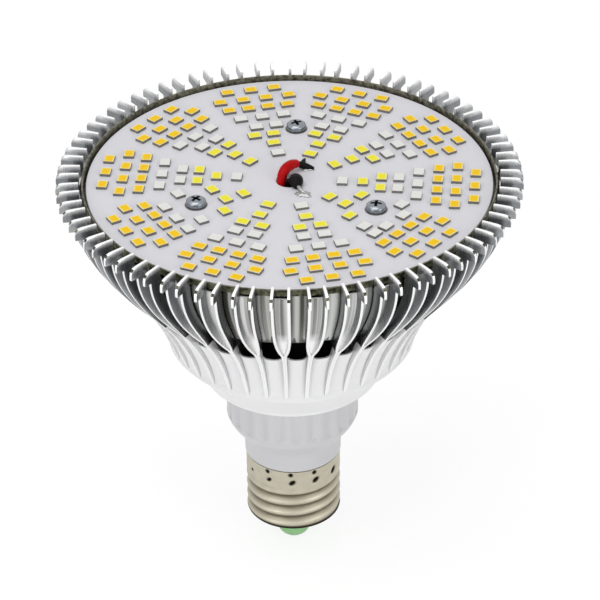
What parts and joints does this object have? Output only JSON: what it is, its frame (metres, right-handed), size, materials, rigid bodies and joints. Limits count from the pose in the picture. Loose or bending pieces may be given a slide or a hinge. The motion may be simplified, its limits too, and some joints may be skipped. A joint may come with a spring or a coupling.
{
  "type": "LED grow lamp",
  "caption": "Screw-cap grow lamp with a flat round LED board in a flared ring of folded cooling fins on a white plastic body.",
  "frame": {"origin": "centre of the flat end of the centre contact, the lamp's lowest point, on the lamp's axis", "axes": "+Z is the lamp's axis from the screw cap to the LEDs; -Y faces the picture's camera"},
  "size_m": [0.123, 0.123, 0.1199],
  "materials": {
    "fin_aluminium": "bright folded sheet, satin",
    "cup_aluminium": "satin, slightly warm grey",
    "white_plastic": "satin white moulding",
    "cap_nickel": "nickel-plated aluminium sheet, semi-gloss",
    "board_white": "aluminium-core board with white solder mask, satin",
    "insulator_green": "semi-gloss green moulding",
    "circuit_green": "green circuit laminate",
    "dark_parts": "dark component bodies",
    "red_sleeve": "red silicone sleeve",
    "black_sleeve": "black silicone sleeve",
    "screw_steel": "plated steel",
    "pad_grey": "grey heat-conducting pad",
    "tinned_wire": "tinned wire"
  },
  "bodies": {
    "root": {"fin_pair_01": "fin_aluminium", "fin_pair_02": "fin_aluminium", "fin_pair_03": "fin_aluminium", "fin_pair_04": "fin_aluminium", "fin_pair_05": "fin_aluminium", "fin_pair_06": "fin_aluminium", "fin_pair_07": "fin_aluminium", "fin_pair_08": "fin_aluminium", "fin_pair_09": "fin_aluminium", "fin_pair_10": "fin_aluminium", "fin_pair_11": "fin_aluminium", "fin_pair_12": "fin_aluminium", "fin_pair_13": "fin_aluminium", "fin_pair_14": "fin_aluminium", "fin_pair_15": "fin_aluminium", "fin_pair_16": "fin_aluminium", "fin_pair_17": "fin_aluminium", "fin_pair_18": "fin_aluminium", "fin_pair_19": "fin_aluminium", "fin_pair_20": "fin_aluminium", "fin_pair_21": "fin_aluminium", "fin_pair_22": "fin_aluminium", "fin_pair_23": "fin_aluminium", "fin_pair_24": "fin_aluminium", "fin_pair_25": "fin_aluminium", "fin_pair_26": "fin_aluminium", "fin_pair_27": "fin_aluminium", "fin_pair_28": "fin_aluminium", "fin_pair_29": "fin_aluminium", "fin_pair_30": "fin_aluminium", "fin_pair_31": "fin_aluminium", "fin_pair_32": "fin_aluminium", "fin_pair_33": "fin_aluminium", "fin_pair_34": "fin_aluminium", "fin_pair_35": "fin_aluminium", "fin_pair_36": "fin_aluminium", "fin_pair_37": "fin_aluminium", "fin_pair_38": "fin_aluminium", "fin_pair_39": "fin_aluminium", "fin_pair_40": "fin_aluminium", "heat_sink_cup": "cup_aluminium", "led_board": "board_white", "thermal_pad": "pad_grey", "board_screw_1": "screw_steel", "board_screw_2": "screw_steel", "board_screw_3": "screw_steel", "lower_shell": "white_plastic", "base_housing": "white_plastic", "screw_shell": "cap_nickel", "cap_insulator": "insulator_green", "centre_contact": "cap_nickel", "driver_board": "circuit_green", "driver_capacitor": "dark_parts", "driver_inductor": "dark_parts", "film_capacitor": "dark_parts", "bridge_rectifier": "dark_parts", "red_lead": "red_sleeve", "black_lead": "black_sleeve", "live_lead": "tinned_wire", "neutral_lead": "tinned_wire"}
  },
  "joints": []
}
